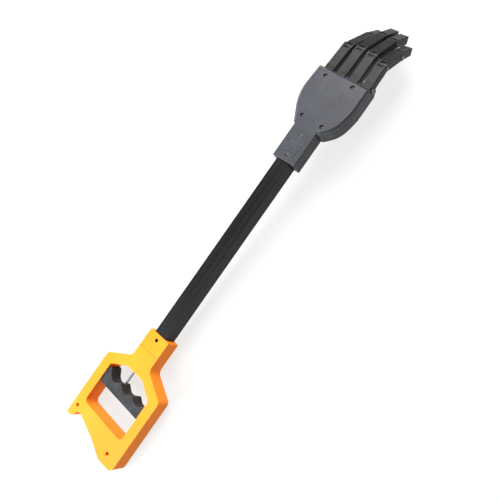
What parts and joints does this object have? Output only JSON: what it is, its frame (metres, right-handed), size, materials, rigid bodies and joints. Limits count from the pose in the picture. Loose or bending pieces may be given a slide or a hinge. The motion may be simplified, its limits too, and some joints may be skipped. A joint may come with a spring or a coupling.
{
  "type": "pull trigger robot hand grabber",
  "caption": "Toy robot hand grabber: a loop handle with a sliding trigger, a square tube and a hand whose jointed fingers curl towards a fixed thumb.",
  "frame": {"origin": "centre of the outside box, at the height of the lowest point, which is the end of the thumb", "axes": "+X along the tube from the handle to the fingers, +Y towards the index finger and thumb seat, +Z out of the back of the hand"},
  "size_m": [0.5748, 0.089, 0.0645],
  "materials": {
    "yellow_plastic": "satin moulded plastic",
    "black_plastic": "satin moulded plastic",
    "tube_black": "gloss extruded plastic",
    "grey_plastic": "pearl grey moulded plastic",
    "finger_plastic": "dark gunmetal moulded plastic",
    "silver_trim": "bright foil",
    "steel": "plain steel"
  },
  "bodies": {
    "root": {"handle_shell_top": "yellow_plastic", "handle_shell_bottom": "yellow_plastic", "handle_screws": "steel", "tube": "tube_black", "hand_back_shell": "grey_plastic", "hand_palm_shell": "grey_plastic", "palm_plate": "grey_plastic", "thumb_base": "grey_plastic", "thumb_tip": "grey_plastic", "hand_screws": "steel", "knuckle_block": "black_plastic", "knuckle_axle": "steel"},
    "trigger_set": {"trigger": "black_plastic", "pull_rod": "steel", "return_spring": "steel", "tendon_plate": "black_plastic", "finger_links": "steel"},
    "index_proximal_set": {"index_proximal": "finger_plastic", "index_pin_1": "steel"},
    "index_middle_set": {"index_middle_phalanx": "finger_plastic", "index_pin_2": "steel", "index_inlay_1": "silver_trim"},
    "index_tip_set": {"index_fingertip": "finger_plastic", "index_inlay_2": "silver_trim"},
    "middle_proximal_set": {"middle_proximal": "finger_plastic", "middle_pin_1": "steel"},
    "middle_middle_set": {"middle_middle_phalanx": "finger_plastic", "middle_pin_2": "steel", "middle_inlay_1": "silver_trim"},
    "middle_tip_set": {"middle_fingertip": "finger_plastic", "middle_inlay_2": "silver_trim"},
    "ring_proximal_set": {"ring_proximal": "finger_plastic", "ring_pin_1": "steel"},
    "ring_middle_set": {"ring_middle_phalanx": "finger_plastic", "ring_pin_2": "steel", "ring_inlay_1": "silver_trim"},
    "ring_tip_set": {"ring_fingertip": "finger_plastic", "ring_inlay_2": "silver_trim"},
    "little_proximal_set": {"little_proximal": "finger_plastic", "little_pin_1": "steel"},
    "little_middle_set": {"little_middle_phalanx": "finger_plastic", "little_pin_2": "steel", "little_inlay_1": "silver_trim"},
    "little_tip_set": {"little_fingertip": "finger_plastic", "little_inlay_2": "silver_trim"}
  },
  "joints": [
    {"name": "trigger_slide", "type": "slide", "parent": "root", "child": "trigger_set", "axis": [-1, 0, 0], "range_m": [0, 0.022], "stiffness_N_per_m": 200, "springref_m": -0.015, "deforming": ["return_spring"]},
    {"name": "index_knuckle", "type": "hinge", "parent": "root", "child": "index_proximal_set", "pos_m": [0.19508, 0.0238, 0.052], "axis": [0, 1, 0], "range_deg": [0, 10]},
    {"name": "index_middle_hinge", "type": "hinge", "parent": "index_proximal_set", "child": "index_middle_set", "pos_m": [0.23052, 0.02194, 0.05107], "axis": [0.0523, 0.9986, -0.0014], "range_deg": [0, 51]},
    {"name": "index_end_hinge", "type": "hinge", "parent": "index_middle_set", "child": "index_tip_set", "pos_m": [0.2616, 0.02028, 0.02928], "axis": [0.0523, 0.9986, -0.0014], "range_deg": [0, 44]},
    {"name": "middle_knuckle", "type": "hinge", "parent": "root", "child": "middle_proximal_set", "pos_m": [0.19508, 0.0068, 0.052], "axis": [0, 1, 0], "range_deg": [0, 10]},
    {"name": "middle_middle_hinge", "type": "hinge", "parent": "middle_proximal_set", "child": "middle_middle_set", "pos_m": [0.23306, 0.00614, 0.05101], "axis": [0.0174, 0.9998, -0.0005], "range_deg": [0, 51]},
    {"name": "middle_end_hinge", "type": "hinge", "parent": "middle_middle_set", "child": "middle_tip_set", "pos_m": [0.26606, 0.00555, 0.03118], "axis": [0.0174, 0.9998, -0.0005], "range_deg": [0, 44]},
    {"name": "ring_knuckle", "type": "hinge", "parent": "root", "child": "ring_proximal_set", "pos_m": [0.19508, -0.0102, 0.052], "axis": [0, 1, 0], "range_deg": [0, 10]},
    {"name": "ring_middle_hinge", "type": "hinge", "parent": "ring_proximal_set", "child": "ring_middle_set", "pos_m": [0.23157, -0.00982, 0.05105], "axis": [-0.0105, 0.9999, 0.0003], "range_deg": [0, 51]},
    {"name": "ring_end_hinge", "type": "hinge", "parent": "ring_middle_set", "child": "ring_tip_set", "pos_m": [0.26371, -0.00948, 0.03173], "axis": [-0.0105, 0.9999, 0.0003], "range_deg": [0, 44]},
    {"name": "little_knuckle", "type": "hinge", "parent": "root", "child": "little_proximal_set", "pos_m": [0.19508, -0.0272, 0.052], "axis": [0, 1, 0], "range_deg": [0, 10]},
    {"name": "little_middle_hinge", "type": "hinge", "parent": "little_proximal_set", "child": "little_middle_set", "pos_m": [0.22505, -0.02615, 0.05121], "axis": [-0.0349, 0.9994, 0.0009], "range_deg": [0, 51]},
    {"name": "little_end_hinge", "type": "hinge", "parent": "little_middle_set", "child": "little_tip_set", "pos_m": [0.25133, -0.02522, 0.03479], "axis": [-0.0349, 0.9994, 0.0009], "range_deg": [0, 44]}
  ],
  "couplings": [
    {"joint": "index_knuckle", "follows": "trigger_slide", "rad_per_m": 7.93},
    {"joint": "index_middle_hinge", "follows": "trigger_slide", "rad_per_m": 40.45},
    {"joint": "index_end_hinge", "follows": "trigger_slide", "rad_per_m": 34.9},
    {"joint": "middle_knuckle", "follows": "trigger_slide", "rad_per_m": 7.93},
    {"joint": "middle_middle_hinge", "follows": "trigger_slide", "rad_per_m": 40.45},
    {"joint": "middle_end_hinge", "follows": "trigger_slide", "rad_per_m": 34.9},
    {"joint": "ring_knuckle", "follows": "trigger_slide", "rad_per_m": 7.93},
    {"joint": "ring_middle_hinge", "follows": "trigger_slide", "rad_per_m": 40.45},
    {"joint": "ring_end_hinge", "follows": "trigger_slide", "rad_per_m": 34.9},
    {"joint": "little_knuckle", "follows": "trigger_slide", "rad_per_m": 7.93},
    {"joint": "little_middle_hinge", "follows": "trigger_slide", "rad_per_m": 40.45},
    {"joint": "little_end_hinge", "follows": "trigger_slide", "rad_per_m": 34.9}
  ]
}
